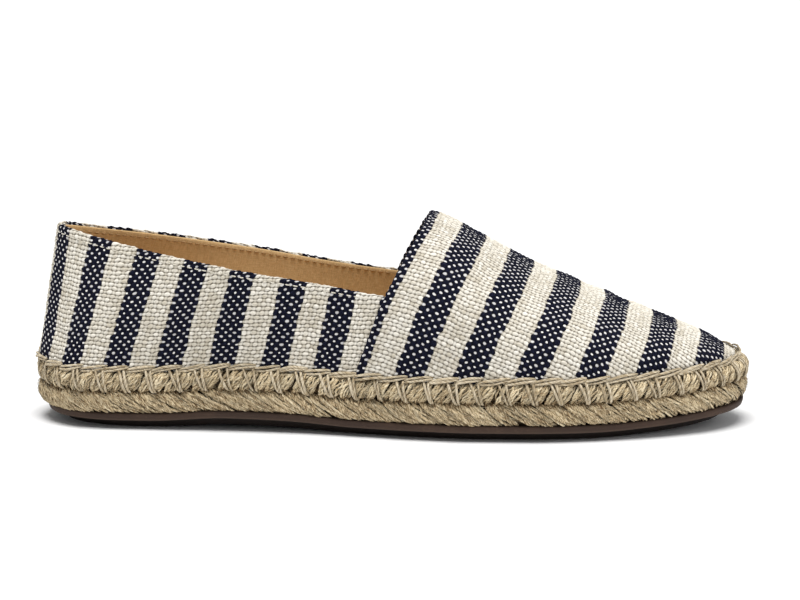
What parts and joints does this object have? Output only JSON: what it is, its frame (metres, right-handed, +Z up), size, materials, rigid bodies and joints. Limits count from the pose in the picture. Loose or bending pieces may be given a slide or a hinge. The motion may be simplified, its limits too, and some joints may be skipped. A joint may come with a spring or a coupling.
{
  "type": "espadrille",
  "caption": "Flat slip-on espadrille for the right foot: hollow striped canvas upper with a low rounded toe, on a blanket-stitched braided jute sole with a thin rubber outsole.",
  "frame": {"origin": "bottom centre of the shoe's box, on the floor midway between heel and toe", "axes": "+X towards the toe, +Y to the inner side of the foot, +Z up"},
  "size_m": [0.254, 0.0875, 0.074],
  "materials": {
    "rubber": "matte moulded rubber",
    "jute": "braided jute yarn",
    "lining": "fine tan cotton",
    "canvas": "coarse plain-weave canvas"
  },
  "bodies": {
    "root": {"outsole": "rubber", "jute_sole": "jute", "insole": "lining", "upper": "canvas"}
  },
  "joints": []
}
